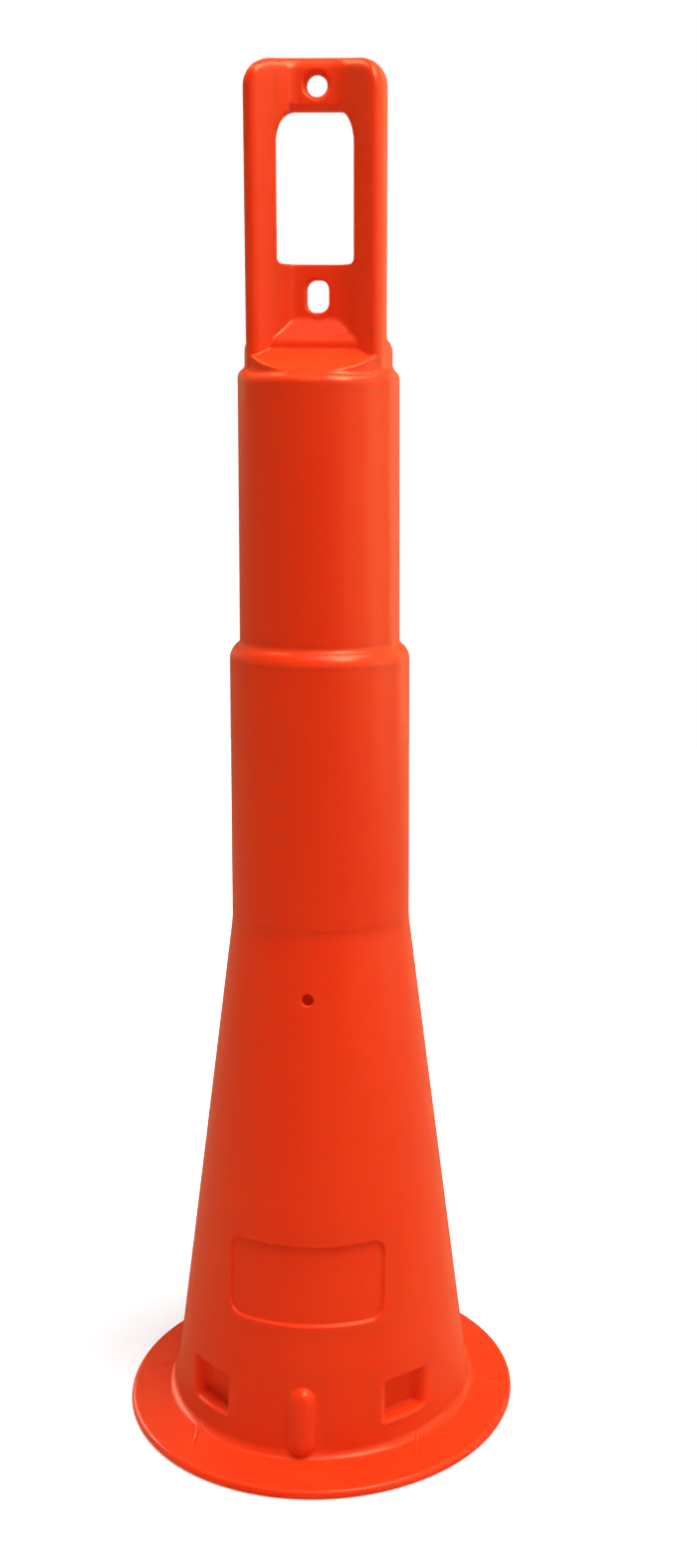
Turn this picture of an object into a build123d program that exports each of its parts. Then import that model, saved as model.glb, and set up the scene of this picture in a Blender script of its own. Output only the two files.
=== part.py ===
"""Traffic channelizer: a hollow body moulded in one shot from polyethylene.

The body stands on a round flange and rises as a cone, two straight sleeves and a grab handle.
It is split where its own form changes, and every section is a solid of its own.
The origin is under the centre of the flange, +Z is up and the front faces -Y.
"""
from build123d import *
import os
from math import atan, cos, radians, sin, tan

# Driving sizes, in millimetres and degrees
wall = 3.2

# Heights, stacked from the floor up
cone_height = 421.0
lower_sleeve_length = 211.0
step_height = 15.5
upper_sleeve_length = 194.5
shoulder_height = 15.0
stub_height = 20.5
lower_web_height = 50.2
window_height = 108.3
top_bar_height = 37.6

# Round body
cone_base_radius = 126.4
lower_sleeve_radius = 71.5
sleeve_draft = 0.32
cone_bend_radius = 100.0
step_width = 7.9
step_bulge_share = 0.70
shoulder_width = 5.4
shoulder_bulge_share = 0.62
stub_edge_radius = 12.0

# Base flange, which rises from its rounded rim to the cone
flange_width = 36.2
flange_plate = 7.4
flange_rise = 5.6
flange_fillet = 6.0
rim_height = 8.0
rim_flat = 3.0

# Vent hole and recessed panel on the front of the cone
vent_diameter = 9.5
vent_height = 375.0
panel_width = 122.5
panel_height = 63.5
panel_bottom = 117.2
panel_corner_radius = 10.0
panel_recess = 2.6

# Lock pockets, two on the front and two on the rear
pocket_angle = 41.5
pocket_sill_gap = 15.7
pocket_height = 31.2
pocket_depth = 12.1
pocket_inner_reach = 22.5
pocket_sill_reach = 18.0
pocket_ceiling_reach = 33.0
pocket_back_inner_reach = 12.7
pocket_back_sill_reach = 16.0
pocket_back_ceiling_reach = 14.5

# Upright half-round keys with domed ends, one on the front and one on the rear
rib_width = 21.5
rib_top = 67.5
rib_foot_rise = 9.8
rib_stand_out = 7.5

# Handle section, seen from above: two rails in front of a flat web
handle_setback = 4.6
handle_front = 31.0
handle_back = 5.0
rail_side_radius = 8.0
rail_crest_flat = 1.2
rail_crest_radius = 1.6
web_half_width = 17.4
web_front = 8.0
web_corner_radius = 4.0

# Handle seen from the front
handle_corner_radius = 19.5
top_draft = 9.0
window_front_width = 51.6
window_draft = 10.6
window_front_top_radius = 20.0
window_back_top_radius = 14.5
window_bottom_radius = 4.0
grip_bevel_width = 39.0
grip_bevel_height = 3.3
grip_bevel_depth = 6.0
hole_diameter = 15.5
hole_drop = 20.3
hole_flare = 2.5
hole_front_depth = 4.0
hole_back_depth = 5.0
slot_width = 17.6
slot_height = 24.0
slot_end_flat = 2.6
slot_rise = 27.5
slot_relief = 6.0

# Sloped facets in front of the handle foot
gusset_rise = 11.2
upper_facet_run = 14.0
upper_facet_drop = 17.2
facet_band = 5.2
lower_facet_run = 38.5
lower_facet_drop = 18.1
ledge_fall = 1.3

# Levels and radii that follow from the sizes above
cone_slope = (cone_base_radius - lower_sleeve_radius) / cone_height
cone_angle = atan(cone_slope)
bend_reach = cone_bend_radius * tan(cone_angle / 2)
sleeve_taper = tan(radians(sleeve_draft))
sleeve_bottom = cone_height + bend_reach
lower_sleeve_top = cone_height + lower_sleeve_length
step_top = lower_sleeve_top + step_height
upper_sleeve_top = step_top + upper_sleeve_length
shoulder_top = upper_sleeve_top + shoulder_height
stub_top = shoulder_top + stub_height
window_bottom = stub_top + lower_web_height
window_top = window_bottom + window_height
window_middle = (window_bottom + window_top) / 2
handle_top = window_top + top_bar_height
handle_front_top = handle_top - (handle_front + handle_back) * tan(radians(top_draft))

lower_sleeve_top_radius = lower_sleeve_radius - sleeve_taper * (lower_sleeve_top - sleeve_bottom)
upper_sleeve_radius = lower_sleeve_top_radius - step_width
upper_sleeve_top_radius = upper_sleeve_radius - sleeve_taper * upper_sleeve_length
stub_radius = upper_sleeve_top_radius - shoulder_width
handle_half_width = stub_radius - handle_setback
rail_crest = handle_half_width - rail_side_radius - rail_crest_flat

# The flange's top meets the cone in a corner, and the fillet touches both as far from that corner
flange_radius = cone_base_radius + flange_width
rim_inner_radius = flange_radius - rim_height / 2 - rim_flat
flange_corner_height = flange_plate + flange_rise
flange_corner_radius = cone_base_radius - cone_slope * flange_corner_height
flange_slope = atan(flange_rise / (rim_inner_radius - flange_corner_radius))
fillet_reach = flange_fillet * tan(radians(45) - (cone_angle + flange_slope) / 2)
fillet_top = flange_corner_height + fillet_reach * cos(cone_angle)
pocket_sill_height = fillet_top + pocket_sill_gap

# How far a cutting tool runs past the surface that it cuts
overrun = 20.0


def cone_radius(height):
    """Outer radius of the cone at a height above the floor."""
    return cone_base_radius - cone_slope * height


def turn(*edges):
    """Solid turned about the upright axis from edges drawn as (radius, height)."""
    return revolve(Plane.XZ * make_face(edges), Axis.Z, 360)


def outline(points, radii=0):
    """Flat face with its corners rounded."""
    return make_face(FilletPolyline(*points, radius=radii, close=True))


def prism(face, low, high):
    """Solid that stands on a plan face between two levels."""
    return extrude(Pos(0, 0, low) * face, amount=high - low)


def through(face):
    """Solid that runs right through the body from a face drawn as (x, height)."""
    return extrude(Plane.XZ * face, amount=flange_radius, both=True)


def across(face):
    """Solid that runs from side to side from a face drawn as (y, height)."""
    return extrude(Plane.YZ * face, amount=flange_radius, both=True)


def ogee(low, high, share):
    """Two tangent arcs, upright at both ends: a bulge below and a hollow above."""
    bend = (low[0] + (high[0] - low[0]) * share, low[1] + (high[1] - low[1]) * share)
    return [TangentArc(low, bend, tangent=(0, 1)), TangentArc(high, bend, tangent=(0, -1))]


def inner_share(width, height, share):
    """Share of the bulge on the inner face, one wall inside the outer ogee."""
    arc_radii = height / sin(2 * atan(width / height))
    return share - wall / arc_radii


def body_below(inset):
    """Solid cone as high as the cone section, shrunk sideways by an inset."""
    cone = Cone(cone_base_radius - inset, lower_sleeve_radius - inset, cone_height)
    return Pos(0, 0, cone_height / 2) * cone


def above_level():
    size = 2 * flange_radius
    return Box(size, size, size, align=(Align.CENTER, Align.CENTER, Align.MIN))


def below_level():
    size = 2 * flange_radius
    return Box(size, size, size, align=(Align.CENTER, Align.CENTER, Align.MAX))


# Base flange

def make_rim_bead():
    inner = rim_inner_radius
    turning = flange_radius - rim_height / 2
    return turn(
        Line((inner, 0), (turning, 0)),
        ThreePointArc((turning, 0), (flange_radius, rim_height / 2), (turning, rim_height)),
        Line((turning, rim_height), (inner, rim_height)),
        Line((inner, rim_height), (inner, 0)),
    )


def make_base_flange():
    """Ring of even thickness that rises from the rim to the cone, and the foot of the cone."""
    outer = rim_inner_radius
    mouth = (cone_radius(flange_rise) - wall, flange_rise)
    inward = (-cos(flange_slope), sin(flange_slope))
    fillet_foot = (
        flange_corner_radius - fillet_reach * inward[0],
        flange_corner_height - fillet_reach * inward[1],
    )
    top = (cone_radius(fillet_top), fillet_top)
    inner_top = (top[0] - wall, fillet_top)
    return turn(
        Line(mouth, (flange_corner_radius, flange_rise)),
        Line((flange_corner_radius, flange_rise), (outer, 0)),
        Line((outer, 0), (outer, flange_plate)),
        Line((outer, flange_plate), fillet_foot),
        TangentArc(fillet_foot, top, tangent=inward),
        Line(top, inner_top),
        Line(inner_top, mouth),
    )


# Cone and what is let into it

def make_cone_wall():
    bend_foot = (
        lower_sleeve_radius + bend_reach * sin(cone_angle),
        cone_height - bend_reach * cos(cone_angle),
    )
    bend_head = (lower_sleeve_radius, sleeve_bottom)
    foot = (cone_radius(fillet_top), fillet_top)
    inner_bend_foot = (bend_foot[0] - wall, bend_foot[1])
    inner_bend_head = (bend_head[0] - wall, bend_head[1])
    inner_foot = (foot[0] - wall, foot[1])
    return turn(
        Line(foot, bend_foot),
        TangentArc(bend_head, bend_foot, tangent=(0, -1)),
        Line(bend_head, inner_bend_head),
        TangentArc(inner_bend_head, inner_bend_foot, tangent=(0, -1)),
        Line(inner_bend_foot, inner_foot),
        Line(inner_foot, foot),
    )


def panel_block(growth):
    """Block in front of the cone with the panel's outline, moved out by a growth."""
    left, right = -panel_width / 2 - growth, panel_width / 2 + growth
    low, high = panel_bottom - growth, panel_bottom + panel_height + growth
    corners = [(left, low), (right, low), (right, high), (left, high)]
    face = outline(corners, panel_corner_radius + growth)
    return extrude(Plane.XZ * face, amount=flange_radius)


def make_blank_panel():
    """Shallow tray: a plate behind the cone's surface and the wall that steps back to it."""
    shell = body_below(0) - body_below(panel_recess + wall)
    hollow = panel_block(0) - body_below(panel_recess)
    return (panel_block(wall) & shell) - hollow


def pocket_block(place, growth):
    """Block that shapes a lock pocket, with every face moved out by a growth.

    Its side away from the body's centre line leans out as it rises.
    """
    angle, hand = pocket_places[place]
    low = pocket_sill_height - growth
    high = pocket_sill_height + pocket_height + growth
    mouth = cone_radius(pocket_sill_height + pocket_height / 2)

    def reach_at(depth, mouth_reach, back_reach):
        slope = (mouth_reach - back_reach) / pocket_depth
        return mouth_reach - slope * depth + growth * (1 + slope**2) ** 0.5

    def slice_at(depth):
        inner = reach_at(depth, pocket_inner_reach, pocket_back_inner_reach)
        sill = reach_at(depth, pocket_sill_reach, pocket_back_sill_reach)
        ceiling = reach_at(depth, pocket_ceiling_reach, pocket_back_ceiling_reach)
        right_hand = [(-inner, low), (sill, low), (ceiling, high), (-inner, high)]
        face = outline([(hand * x, height) for x, height in right_hand])
        return Plane.XZ.offset(mouth - depth) * face

    block = loft([slice_at(pocket_depth + growth), slice_at(-overrun / 2)], ruled=True)
    return Rot(Z=angle) * block


def make_lock_pocket(place):
    return (pocket_block(place, wall) & body_below(0)) - pocket_block(place, 0)


def rib_bar(angle, radius, foot):
    """Round bar with two domed ends that lies along the cone."""
    bar_radius = rib_width / 2
    sink = bar_radius - rib_stand_out
    dome = rib_top - bar_radius
    along = Vector(0, sin(cone_angle), cos(cone_angle))
    start = Vector(0, sink - cone_radius(foot), foot)
    length = (dome - foot) / cos(cone_angle)
    bar = Cylinder(radius, length, align=(Align.CENTER, Align.CENTER, Align.MIN))
    bar += Sphere(radius)
    bar += Pos(0, 0, length) * Sphere(radius)
    leaning = Plane(origin=start, x_dir=(1, 0, 0), z_dir=along) * bar
    return Rot(Z=angle) * leaning


def rib_hollow(angle):
    return rib_bar(angle, rib_width / 2 - wall, fillet_top + rib_width / 2)


def make_key_rib(angle, flange):
    bar = rib_bar(angle, rib_width / 2, flange_corner_height + rib_foot_rise)
    return bar - rib_hollow(angle) - body_below(0) - flange


front, rear = 0, 180
right_hand, left_hand = 1, -1
pocket_places = {
    "front_left": (front - pocket_angle, left_hand),
    "front_right": (front + pocket_angle, right_hand),
    "rear_left": (rear + pocket_angle, right_hand),
    "rear_right": (rear - pocket_angle, left_hand),
}


def make_cone_skirt():
    vent = extrude(
        Plane.XZ * Pos(0, vent_height) * Circle(vent_diameter / 2), amount=flange_radius
    )
    skirt = make_cone_wall() - vent - panel_block(wall)
    for place in pocket_places:
        skirt -= pocket_block(place, wall)
    for angle in (front, rear):
        skirt -= rib_hollow(angle)
    return skirt


# Sleeves and the step between them

def make_sleeve(low, high, low_radius, high_radius):
    return turn(
        Line((low_radius, low), (high_radius, high)),
        Line((high_radius, high), (high_radius - wall, high)),
        Line((high_radius - wall, high), (low_radius - wall, low)),
        Line((low_radius - wall, low), (low_radius, low)),
    )


def make_step_shoulder():
    low = (lower_sleeve_top_radius, lower_sleeve_top)
    high = (upper_sleeve_radius, step_top)
    inner_low = (low[0] - wall, low[1])
    inner_high = (high[0] - wall, high[1])
    share = inner_share(step_width, step_height, step_bulge_share)
    return turn(
        *ogee(low, high, step_bulge_share),
        Line(high, inner_high),
        *ogee(inner_low, inner_high, share),
        Line(inner_low, low),
    )


# Shoulder and round stub that carry the handle

def stub_form(inset, share):
    """Solid shoulder and stub, shrunk by an inset."""
    foot = (upper_sleeve_top_radius - inset, upper_sleeve_top)
    neck = (stub_radius - inset, shoulder_top)
    edge_foot = (neck[0], stub_top - stub_edge_radius)
    edge_head = (stub_radius - stub_edge_radius, stub_top - inset)
    return turn(
        *ogee(foot, neck, share),
        Line(neck, edge_foot),
        TangentArc(edge_foot, edge_head, tangent=(0, 1)),
        Line(edge_head, (0, edge_head[1])),
        Line((0, edge_head[1]), (0, foot[1])),
        Line((0, foot[1]), foot),
    )


gusset_top = stub_top + gusset_rise
facet_brow = (-web_front - upper_facet_run, gusset_top - upper_facet_drop)
facet_chin = (facet_brow[0], facet_brow[1] - facet_band)
facet_toe = (facet_chin[0] - lower_facet_run, facet_chin[1] - lower_facet_drop)
ledge_end = (-upper_sleeve_top_radius - overrun, facet_toe[1] - ledge_fall)


def facet_face():
    """Side view of all that is cut away in front of the handle foot."""
    above = gusset_top + overrun
    return outline([
        (-web_front, gusset_top),
        facet_brow,
        facet_chin,
        facet_toe,
        ledge_end,
        (ledge_end[0], above),
        (-web_front, above),
    ])


def handle_plan():
    """Section of the handle: rails in front, a flat back, and a channel down to the web."""
    side = handle_half_width
    right = [
        (side, handle_back),
        (side, -handle_front),
        (rail_crest, -handle_front),
        (web_half_width, -web_front),
    ]
    left = [(-x, y) for x, y in reversed(right)]
    radii = [rail_side_radius, rail_side_radius, rail_crest_radius, web_corner_radius]
    return outline(right + left, radii + radii[::-1])


def rail_cavity():
    """Hollow inside the right rail, one wall inside its faces."""
    inner = window_half_width(handle_back)
    size = 2 * flange_radius
    right_of_window = Pos(inner, 0) * Rectangle(size, size, align=(Align.MIN, Align.CENTER))
    face = offset(handle_plan() & right_of_window, -wall)
    return prism(face, shoulder_top - wall, handle_front_top - handle_corner_radius)


def both_rail_cavities():
    right = rail_cavity()
    return [right, mirror(right, Plane.YZ)]


def make_handle_foot():
    """Shoulder and stub as one shell, with the handle's foot standing in the cut-away."""
    cut = facet_face()
    share = inner_share(shoulder_width, shoulder_height, shoulder_bulge_share)
    outside = stub_form(0, shoulder_bulge_share) - across(cut)
    outside += prism(handle_plan(), facet_toe[1], stub_top)
    inside = stub_form(wall, share) - across(offset(cut, wall, kind=Kind.INTERSECTION))
    foot = outside - inside
    for cavity in both_rail_cavities():
        foot -= cavity
    return foot


def make_front_gusset():
    """What stands above the stub between the rails, behind the facets."""
    side_view = outline([
        (-web_front, gusset_top),
        facet_brow,
        facet_chin,
        (facet_chin[0], shoulder_top),
        (-web_front, shoulder_top),
    ])
    wedge = extrude(Plane.YZ * side_view, amount=rail_crest, both=True)
    wedge &= Pos(0, 0, stub_top) * above_level()
    slot_foot = stub_top + slot_rise - (slot_height - slot_width) / 2
    relief = through(Pos(0, slot_foot) * Circle(slot_width / 2 + slot_relief))
    return wedge - relief - prism(handle_plan(), shoulder_top, handle_top)


# Handle

def window_half_width(depth):
    """Half width of the grip window, which widens from its front face to the back."""
    return window_front_width / 2 + (depth + handle_front) * tan(radians(window_draft))


def middle_block():
    """All that lies between the two rails."""
    near, far = -handle_front - overrun, handle_back + overrun
    half_near, half_far = window_half_width(near), window_half_width(far)
    plan = outline([(-half_near, near), (half_near, near), (half_far, far), (-half_far, far)])
    return prism(plan, stub_top, handle_top)


def window_block():
    """Grip window, whose upper corners are rounder at its front face than at the back."""
    def slice_at(depth, top_radius):
        half = window_half_width(depth)
        corners = [
            (-half, window_bottom),
            (half, window_bottom),
            (half, window_top),
            (-half, window_top),
        ]
        radii = [window_bottom_radius, window_bottom_radius, top_radius, top_radius]
        return Plane.XZ.offset(-depth) * outline(corners, radii)

    front_face = slice_at(-handle_front, window_front_top_radius)
    back_face = slice_at(handle_back, window_back_top_radius)
    return loft([front_face, back_face], ruled=True)


def handle_block():
    """Front view of the handle, whose top falls from the back to the front."""
    def slice_at(depth):
        side = handle_half_width
        top = handle_top - (handle_back - depth) * tan(radians(top_draft))
        corners = [(-side, stub_top), (side, stub_top), (side, top), (-side, top)]
        radii = [0, 0, handle_corner_radius, handle_corner_radius]
        return Plane.XZ.offset(-depth) * outline(corners, radii)

    return loft([slice_at(-handle_front - overrun), slice_at(handle_back)], ruled=True)


def make_handle():
    handle = prism(handle_plan(), stub_top, handle_top) & handle_block()
    handle -= window_block()
    for cavity in both_rail_cavities():
        handle -= cavity
    return handle


def grip_bevel():
    """Bevel along the lower front edge of the bar above the window."""
    fall = grip_bevel_height / grip_bevel_depth
    edge = grip_bevel_depth - web_front
    low = window_top - fall * (handle_back - edge)
    face = outline([
        (handle_back, low),
        (-handle_front, window_top + fall * (edge + handle_front)),
        (-handle_front, low),
    ])
    return extrude(Plane.YZ * face, amount=grip_bevel_width / 2, both=True)


def hole_tool():
    """Round bore that flares out to both faces of the web."""
    level = handle_top - hole_drop
    narrow = hole_diameter / 2
    wide = narrow + hole_flare
    onward = (Align.CENTER, Align.CENTER, Align.MIN)
    backward = (Align.CENTER, Align.CENTER, Align.MAX)
    bore = Cylinder(narrow, 2 * flange_radius)
    bore += Pos(0, 0, -web_front) * Cone(wide, narrow, hole_front_depth, align=onward)
    bore += Pos(0, 0, handle_back) * Cone(narrow, wide, hole_back_depth, align=backward)
    return Pos(0, 0, level) * Rot(X=-90) * bore


def make_top_bar(handle):
    bar = handle & middle_block() & Pos(0, 0, window_middle) * above_level()
    return bar - grip_bevel() - hole_tool()


def make_lower_web(handle):
    face = RectangleRounded(slot_width, slot_height, (slot_width - slot_end_flat) / 2)
    web = handle & middle_block() & Pos(0, 0, window_middle) * below_level()
    return web - through(Pos(0, stub_top + slot_rise) * face)


# All sections by name
base_flange = make_base_flange()
handle_foot = make_handle_foot()
handle = make_handle()
rails = handle - middle_block()
level_of_stub = Pos(0, 0, shoulder_top)

sections = {
    "rim_bead": make_rim_bead(),
    "base_flange": base_flange,
    "cone_skirt": make_cone_skirt(),
    "blank_panel": make_blank_panel(),
    "key_rib_front": make_key_rib(front, base_flange),
    "key_rib_rear": make_key_rib(rear, base_flange),
    "lower_sleeve": make_sleeve(
        sleeve_bottom, lower_sleeve_top, lower_sleeve_radius, lower_sleeve_top_radius
    ),
    "step_shoulder": make_step_shoulder(),
    "upper_sleeve": make_sleeve(
        step_top, upper_sleeve_top, upper_sleeve_radius, upper_sleeve_top_radius
    ),
    "top_shoulder": handle_foot & level_of_stub * below_level(),
    "handle_base": handle_foot & level_of_stub * above_level(),
    "front_gusset": make_front_gusset(),
    "handle_left_rail": split(rails, bisect_by=Plane.YZ, keep=Keep.BOTTOM),
    "handle_right_rail": split(rails, bisect_by=Plane.YZ, keep=Keep.TOP),
    "handle_top_bar": make_top_bar(handle),
    "handle_lower_web": make_lower_web(handle),
}
for place in pocket_places:
    sections[f"lock_pocket_{place}"] = make_lock_pocket(place)

os.makedirs("parts", exist_ok=True)
for name, section in sections.items():
    export_step(section, f"parts/{name}.step")
    print(f"{name}: {len(section.solids())} solid, {section.volume / 1000:.1f} cm3")
print(f"overall height {handle_top:.1f} mm, base diameter {2 * flange_radius:.1f} mm")
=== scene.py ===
# %% [markdown]
# A traffic channelizer.
# The real object is one hollow body: a tube of soft orange polyethylene is blown out against a
# two-part mould, and leaves it as a wall about 3 mm thick. Nothing on it moves.
# This lesson loads the CAD model as a fixed frame and replaces each of its solids by a smoother
# skin, with the soft edges that a blown wall always has. One unit here is one metre.

# %% Load the frame
import math

import bmesh
import bpy
import numpy as np
from mathutils import Matrix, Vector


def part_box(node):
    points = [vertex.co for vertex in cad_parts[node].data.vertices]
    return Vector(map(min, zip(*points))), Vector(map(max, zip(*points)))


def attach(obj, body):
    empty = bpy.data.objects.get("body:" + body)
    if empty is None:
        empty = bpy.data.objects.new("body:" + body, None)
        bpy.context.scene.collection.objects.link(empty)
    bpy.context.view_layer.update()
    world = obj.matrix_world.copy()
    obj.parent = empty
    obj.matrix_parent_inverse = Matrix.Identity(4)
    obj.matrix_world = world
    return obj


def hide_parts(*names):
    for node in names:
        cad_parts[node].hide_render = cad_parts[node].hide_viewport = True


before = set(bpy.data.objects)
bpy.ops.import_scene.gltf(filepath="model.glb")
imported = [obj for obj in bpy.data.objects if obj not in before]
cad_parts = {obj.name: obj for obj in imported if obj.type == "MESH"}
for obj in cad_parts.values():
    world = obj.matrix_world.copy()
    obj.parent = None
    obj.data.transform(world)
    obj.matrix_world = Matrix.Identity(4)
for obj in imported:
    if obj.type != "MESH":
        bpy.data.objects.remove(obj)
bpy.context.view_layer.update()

# %% [markdown]
# Shapes are easier to write in millimetres, so the sizes below are in millimetres and a mesh is
# turned into metres when it is made. Levels and outer sizes are read from the frame, so the skin
# stays on the solids that it replaces.

# %% Levels and radii from the frame
mm = 0.001


def low(node, axis):
    """Lowest coordinate of a CAD node, in millimetres."""
    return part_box(node)[0][axis] / mm


def high(node, axis):
    """Highest coordinate of a CAD node, in millimetres."""
    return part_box(node)[1][axis] / mm


def new_object(name, data):
    """Object at the origin that shows a mesh, a lamp or a camera."""
    made = bpy.data.objects.new(name, data)
    bpy.context.scene.collection.objects.link(made)
    return made


wall = 3.2
flange_radius = high("rim_bead", 0)
sleeve_bottom = low("lower_sleeve", 2)
step_bottom = low("step_shoulder", 2)
step_top = high("step_shoulder", 2)
shoulder_bottom = low("top_shoulder", 2)
shoulder_top = low("handle_base", 2)
stub_top = high("handle_base", 2)
handle_top = high("handle_top_bar", 2)
lower_sleeve_radius = high("lower_sleeve", 0)
step_radius = high("step_shoulder", 0)
upper_sleeve_radius = high("upper_sleeve", 0)
shoulder_radius = high("top_shoulder", 0)
stub_radius = high("handle_base", 0)
handle_half_width = high("handle_right_rail", 0)
handle_front = low("handle_right_rail", 1)
handle_back = high("handle_right_rail", 1)
levels = (sleeve_bottom, step_bottom, step_top, shoulder_bottom, shoulder_top, stub_top, handle_top)
radii = (flange_radius, lower_sleeve_radius, step_radius, upper_sleeve_radius, shoulder_radius, stub_radius)
print("levels", np.round(levels, 2))
print("radii", np.round(radii, 2))
print("handle", np.round((handle_half_width, handle_front, handle_back), 2))

# %% [markdown]
# The camera stands a little to the right of the front, at about the height of the upper sleeve's
# top, and looks down. The picture was cropped off centre, so the lens is shifted sideways by as much.

# %% Camera
picture_height = 1575
camera_distance = 1.29265
camera_height = 0.8063
camera_turn = math.radians(8.0)
camera_aim = camera_turn - 0.0727
camera_dip = 0.2102
camera_roll = 0.0111
focal_pixels = 1655.4
crop_shift = 89.8

camera_data = bpy.data.cameras.new("camera")
camera_data.sensor_width = 36
camera_data.lens = camera_data.sensor_width * focal_pixels / picture_height
camera_data.shift_x = -crop_shift / picture_height
camera = new_object("camera", camera_data)
camera_place = (camera_distance * math.sin(camera_turn),
                -camera_distance * math.cos(camera_turn), camera_height)
camera_gaze = Matrix.Rotation(camera_aim, 4, "Z") @ Matrix.Rotation(math.pi / 2 - camera_dip, 4, "X")
camera.matrix_world = Matrix.Translation(camera_place) @ camera_gaze @ Matrix.Rotation(camera_roll, 4, "Z")
bpy.context.scene.camera = camera
print("lens", round(camera_data.lens, 2), "mm, shift", round(camera_data.shift_x, 4))

# %% [markdown]
# One small function adds a node to any tree, shader or geometry, with its options and its inputs.
# An input goes by its name or its number, and is either a value or the output socket of another
# node. Materials and the world start from a cleared tree.

# %% Node helper and colours


def add_node(tree, kind, options=None, inputs=None):
    """Add a node, set its options, and set or link its inputs."""
    node = tree.nodes.new(kind)
    for name, value in (options or {}).items():
        setattr(node, name, value)
    for name, value in (inputs or {}).items():
        if isinstance(value, bpy.types.NodeSocket):
            tree.links.new(value, node.inputs[name])
        else:
            node.inputs[name].default_value = value
    return node


def linear(hex_colour):
    """Linear colour with alpha from an sRGB hex value."""
    channels = [int(hex_colour[start:start + 2], 16) / 255 for start in (1, 3, 5)]
    return [((c + 0.055) / 1.055) ** 2.4 if c > 0.04045 else c / 12.92 for c in channels] + [1.0]


def cleared(holder):
    """Node tree of a material or a world, without the nodes that it starts with."""
    holder.use_nodes = True
    holder.node_tree.nodes.clear()
    return holder.node_tree


print("middle grey in linear light", round(linear("#808080")[0], 3))

# %% [markdown]
# High-density polyethylene, blow-moulded and coloured through with orange pigment.
# To the eye it is a satin plastic: strong colour, soft wide highlights on the large walls and
# tight ones on small roundings. The gloss is a thin coat over a body that takes light in, so that
# the colour stays deep, and a little sheen makes faces seen at a slant more orange. The mould is
# lightly blasted, which gives a fine grain. It is drawn at about a millimetre, coarser than real
# grit, so that it shows. The blown wall is never quite true, so wide highlights wander a little.
# Pigment lies in faint streaks that follow the tube upwards.

# %% Satin orange polyethylene
deep_orange = "#E4320A"
bright_orange = "#E8380D"
sheen_orange = "#FFBC7C"
light_depth = 4.0
streak_size = 70.0
wave_size = 55.0
wave_depth = 0.25
grain_size = 1.1
grain_depth = 0.02


def moulded_polyethylene():
    """Satin orange plastic with grain, slow waves and faint streaks."""
    material = bpy.data.materials.new("blow_moulded_polyethylene")
    tree = cleared(material)
    place = add_node(tree, "ShaderNodeTexCoord").outputs["Object"]
    drawn = add_node(tree, "ShaderNodeMapping", inputs={"Vector": place, "Scale": (1.0, 1.0, 0.25)})
    streaks = add_node(tree, "ShaderNodeTexNoise", inputs={
        "Vector": drawn.outputs["Vector"], "Scale": 1 / (streak_size * mm), "Detail": 3.0})
    colour = add_node(tree, "ShaderNodeValToRGB", inputs={"Fac": streaks.outputs["Fac"]})
    colour.color_ramp.elements[0].position = 0.3
    colour.color_ramp.elements[0].color = linear(deep_orange)
    colour.color_ramp.elements[1].position = 0.7
    colour.color_ramp.elements[1].color = linear(bright_orange)
    grain = add_node(tree, "ShaderNodeTexNoise", inputs={
        "Vector": place, "Scale": 1 / (grain_size * mm), "Detail": 2.0, "Roughness": 0.6})
    waves = add_node(tree, "ShaderNodeTexNoise", inputs={
        "Vector": place, "Scale": 1 / (wave_size * mm), "Detail": 1.0})
    bent = add_node(tree, "ShaderNodeBump", inputs={
        "Height": waves.outputs["Fac"], "Distance": wave_depth * mm, "Strength": 1.0})
    surface = add_node(tree, "ShaderNodeBump", inputs={
        "Height": grain.outputs["Fac"], "Distance": grain_depth * mm, "Strength": 1.0,
        "Normal": bent.outputs["Normal"]})
    dull = add_node(tree, "ShaderNodeMapRange", inputs={
        "Value": waves.outputs["Fac"], "From Min": 0.3, "From Max": 0.7, "To Min": 0.26, "To Max": 0.32})
    plastic = add_node(tree, "ShaderNodeBsdfPrincipled", inputs={
        "Base Color": colour.outputs["Color"], "Roughness": dull.outputs["Result"],
        "Normal": surface.outputs["Normal"], "IOR": 1.5, "Specular IOR Level": 0.0,
        "Coat Weight": 0.09, "Coat Roughness": 0.34, "Coat Normal": surface.outputs["Normal"],
        "Sheen Weight": 0.2, "Sheen Roughness": 0.5, "Sheen Tint": linear(sheen_orange),
        "Subsurface Weight": 0.6, "Subsurface Radius": (1.0, 0.2, 0.06),
        "Subsurface Scale": light_depth * mm})
    add_node(tree, "ShaderNodeOutputMaterial", inputs={"Surface": plastic.outputs["BSDF"]})
    return material


polyethylene = moulded_polyethylene()
print("material", polyethylene.name, len(polyethylene.node_tree.nodes), "nodes")

# %% [markdown]
# The floor is a pale sheet that keeps the object's shadow. Seen by the camera it gets a little
# light of its own, so that it runs into the white behind the object. The world is white for the
# camera and for reflections, and dimmer as a light, so that the lamps shape the body.

# %% Floor and world
floor_size = 6.0


def seen_directly(tree):
    """One for camera, glossy and transmission rays, and zero for the rest."""
    rays = add_node(tree, "ShaderNodeLightPath").outputs
    seen = rays["Is Camera Ray"]
    for kind in ("Is Glossy Ray", "Is Transmission Ray"):
        either = add_node(tree, "ShaderNodeMath", {"operation": "MAXIMUM"}, {0: seen, 1: rays[kind]})
        seen = either.outputs["Value"]
    return seen


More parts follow.
